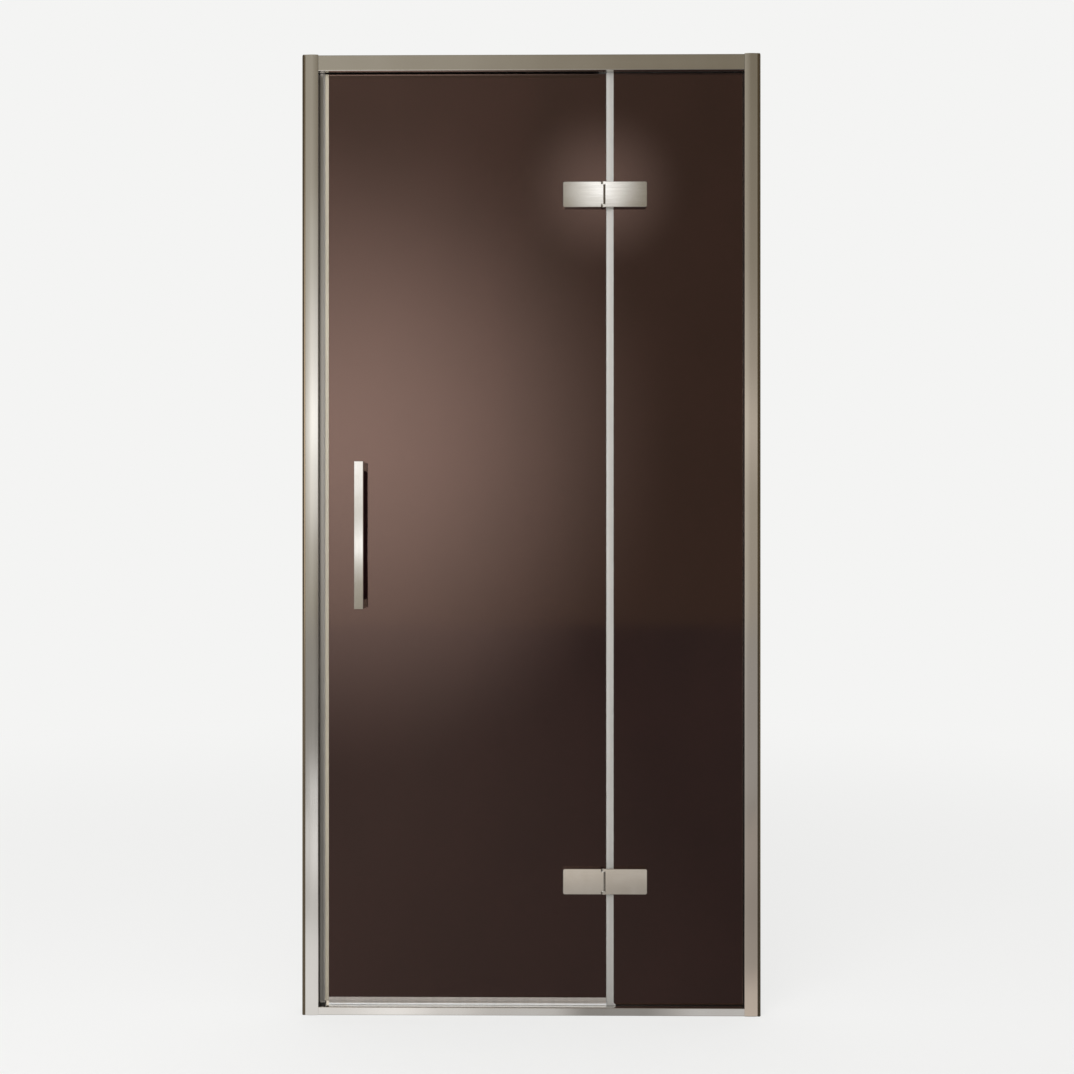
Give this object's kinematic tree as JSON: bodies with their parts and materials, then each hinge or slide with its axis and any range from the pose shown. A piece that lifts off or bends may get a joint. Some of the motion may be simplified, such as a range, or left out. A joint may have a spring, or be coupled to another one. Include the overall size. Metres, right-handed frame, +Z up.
{
  "type": "pivot shower door",
  "caption": "Framed shower door for a recess: a tinted glass door swings outward on pin hinges from a fixed glass panel, with a bar handle and a magnetic strike.",
  "frame": {"origin": "middle of the opening's width and of the frame's depth, at the foot of the side profiles", "axes": "+Z up, +X along the opening from the handle side to the fixed panel, -Y to the room, towards which the door opens"},
  "size_m": [0.906, 0.063, 1.9],
  "materials": {
    "profile_metal": "polished warm nickel anodised",
    "hardware_metal": "polished warm nickel plated",
    "strike_metal": "satin anodised",
    "fixing_steel": "stainless",
    "bronze_glass": "deep bronze tinted, polished",
    "clear_seal": "translucent soft PVC",
    "grey_seal": "soft PVC",
    "dark_gasket": "matt EPDM",
    "magnet_rubber": "ferrite filled",
    "black_plastic": "black nylon",
    "nylon": "natural nylon"
  },
  "bodies": {
    "frame": {"left_wall_channel": "profile_metal", "right_wall_channel": "profile_metal", "left_frame_post": "profile_metal", "right_frame_post": "profile_metal", "left_top_cap": "profile_metal", "right_top_cap": "profile_metal", "header_rail": "profile_metal", "sill_rail": "profile_metal", "header_screws": "fixing_steel", "sill_screws": "fixing_steel", "left_clamp_screws": "fixing_steel", "right_clamp_screws": "fixing_steel", "left_screw_covers": "profile_metal", "right_screw_covers": "profile_metal", "strike_profile": "strike_metal", "strike_magnet_seal": "grey_seal", "strike_magnet": "magnet_rubber", "strike_foot_block": "black_plastic", "fixed_glass": "bronze_glass", "glazing_gasket_side": "dark_gasket", "glazing_gasket_top": "dark_gasket", "glazing_gasket_bottom": "dark_gasket", "gap_seal": "clear_seal", "header_stop_seal": "dark_gasket", "sill_water_bar": "profile_metal", "upper_hinge_fixed_plate": "hardware_metal", "upper_hinge_pin": "fixing_steel", "upper_hinge_thrust_washers": "nylon", "upper_hinge_fixed_pads": "dark_gasket", "upper_hinge_fixed_clamp": "hardware_metal", "upper_hinge_fixed_screws": "fixing_steel", "upper_hinge_fixed_sleeves": "nylon", "lower_hinge_fixed_plate": "hardware_metal", "lower_hinge_pin": "fixing_steel", "lower_hinge_thrust_washers": "nylon", "lower_hinge_fixed_pads": "dark_gasket", "lower_hinge_fixed_clamp": "hardware_metal", "lower_hinge_fixed_screws": "fixing_steel", "lower_hinge_fixed_sleeves": "nylon"},
    "door": {"door_glass": "bronze_glass", "door_magnet_seal": "grey_seal", "door_magnet": "magnet_rubber", "door_foot_seal": "clear_seal", "handle_bar": "hardware_metal", "handle_posts": "hardware_metal", "handle_pads": "clear_seal", "handle_sleeves": "nylon", "handle_rear_washers": "clear_seal", "handle_rosettes": "hardware_metal", "handle_bolts": "fixing_steel", "upper_hinge_door_plate": "hardware_metal", "upper_hinge_door_pads": "dark_gasket", "upper_hinge_door_clamp": "hardware_metal", "upper_hinge_door_screws": "fixing_steel", "upper_hinge_door_sleeves": "nylon", "lower_hinge_door_plate": "hardware_metal", "lower_hinge_door_pads": "dark_gasket", "lower_hinge_door_clamp": "hardware_metal", "lower_hinge_door_screws": "fixing_steel", "lower_hinge_door_sleeves": "nylon"}
  },
  "joints": [
    {"name": "door_swing", "type": "hinge", "parent": "frame", "child": "door", "pos_m": [0.1427, -0.01, 0], "axis": [0, 0, 1], "range_deg": [0, 90]}
  ]
}
